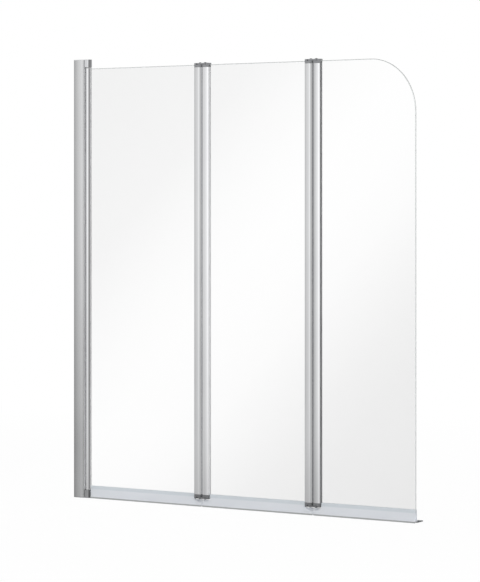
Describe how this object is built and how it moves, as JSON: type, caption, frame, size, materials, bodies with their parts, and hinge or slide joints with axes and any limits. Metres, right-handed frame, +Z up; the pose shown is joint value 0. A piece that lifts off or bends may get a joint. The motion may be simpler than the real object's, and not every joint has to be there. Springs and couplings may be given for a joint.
{
  "type": "folding bath screen",
  "caption": "Folding bath screen of clear glass panels on a wall channel, joined by double-pivot hinges, with a rounded top corner and a clear bottom seal.",
  "frame": {"origin": "foot of the wall channel's back face, in the middle plane of the glass, at bath rim height", "axes": "+X from the wall along the open screen, +Y towards the bath, +Z up"},
  "size_m": [1.3, 0.0508, 1.4],
  "materials": {
    "bright_aluminium": "polished, chrome look",
    "chromed_plastic": "chrome-plated plastic, polished",
    "clear_glass": "clear toughened glass",
    "clear_vinyl": "clear flexible vinyl",
    "grey_plastic": "dark grey satin moulding",
    "pin_metal": "dark grey",
    "gasket_rubber": "matt",
    "strip_rubber": "matt",
    "bush_nylon": "natural nylon",
    "screw_steel": "stainless",
    "plug_metal": "die-cast, tumbled"
  },
  "bodies": {
    "wall_frame": {"wall_channel": "bright_aluminium", "channel_cap_top": "chromed_plastic", "channel_cap_bottom": "chromed_plastic", "inner_channel": "bright_aluminium", "adjuster_screws": "screw_steel", "adjuster_covers": "chromed_plastic", "pivot_strip": "strip_rubber", "bearing_block_top": "chromed_plastic", "bearing_block_bottom": "chromed_plastic", "block_screws": "screw_steel", "block_bush_top": "bush_nylon", "block_bush_bottom": "bush_nylon"},
    "inner_panel": {"pivot_tube": "bright_aluminium", "pivot_plug_top": "plug_metal", "pivot_plug_bottom": "plug_metal", "pivot_gasket": "gasket_rubber", "glass_inner": "clear_glass", "hinge_1_left_leaf": "bright_aluminium", "hinge_1_left_gasket": "gasket_rubber", "hinge_1_left_caps": "grey_plastic", "hinge_1_left_bushes": "bush_nylon", "bottom_seal_inner": "clear_vinyl"},
    "hinge_1_link": {"hinge_1_link_top": "grey_plastic", "hinge_1_link_bottom": "grey_plastic", "hinge_1_pins": "pin_metal"},
    "middle_panel": {"hinge_1_right_leaf": "bright_aluminium", "hinge_1_right_gasket": "gasket_rubber", "hinge_1_right_caps": "grey_plastic", "hinge_1_right_bushes": "bush_nylon", "glass_middle": "clear_glass", "hinge_2_left_leaf": "bright_aluminium", "hinge_2_left_gasket": "gasket_rubber", "hinge_2_left_caps": "grey_plastic", "hinge_2_left_bushes": "bush_nylon", "bottom_seal_middle": "clear_vinyl"},
    "hinge_2_link": {"hinge_2_link_top": "grey_plastic", "hinge_2_link_bottom": "grey_plastic", "hinge_2_pins": "pin_metal"},
    "outer_panel": {"hinge_2_right_leaf": "bright_aluminium", "hinge_2_right_gasket": "gasket_rubber", "hinge_2_right_caps": "grey_plastic", "hinge_2_right_bushes": "bush_nylon", "glass_outer": "clear_glass", "bottom_seal_outer": "clear_vinyl"}
  },
  "joints": [
    {"name": "wall_pivot", "type": "hinge", "parent": "wall_frame", "child": "inner_panel", "pos_m": [0.053, 0, 0.7], "axis": [0, 0, 1], "range_deg": [-90, 60]},
    {"name": "hinge_1_inner_pin", "type": "hinge", "parent": "inner_panel", "child": "hinge_1_link", "pos_m": [0.501, 0, 0.7], "axis": [0, 0, 1], "range_deg": [0, 90]},
    {"name": "hinge_1_outer_pin", "type": "hinge", "parent": "hinge_1_link", "child": "middle_panel", "pos_m": [0.521, 0, 0.7], "axis": [0, 0, 1], "range_deg": [0, 90]},
    {"name": "hinge_2_inner_pin", "type": "hinge", "parent": "middle_panel", "child": "hinge_2_link", "pos_m": [0.9215, 0, 0.7], "axis": [0, 0, -1], "range_deg": [0, 90]},
    {"name": "hinge_2_outer_pin", "type": "hinge", "parent": "hinge_2_link", "child": "outer_panel", "pos_m": [0.9415, 0, 0.7], "axis": [0, 0, -1], "range_deg": [0, 90]}
  ]
}
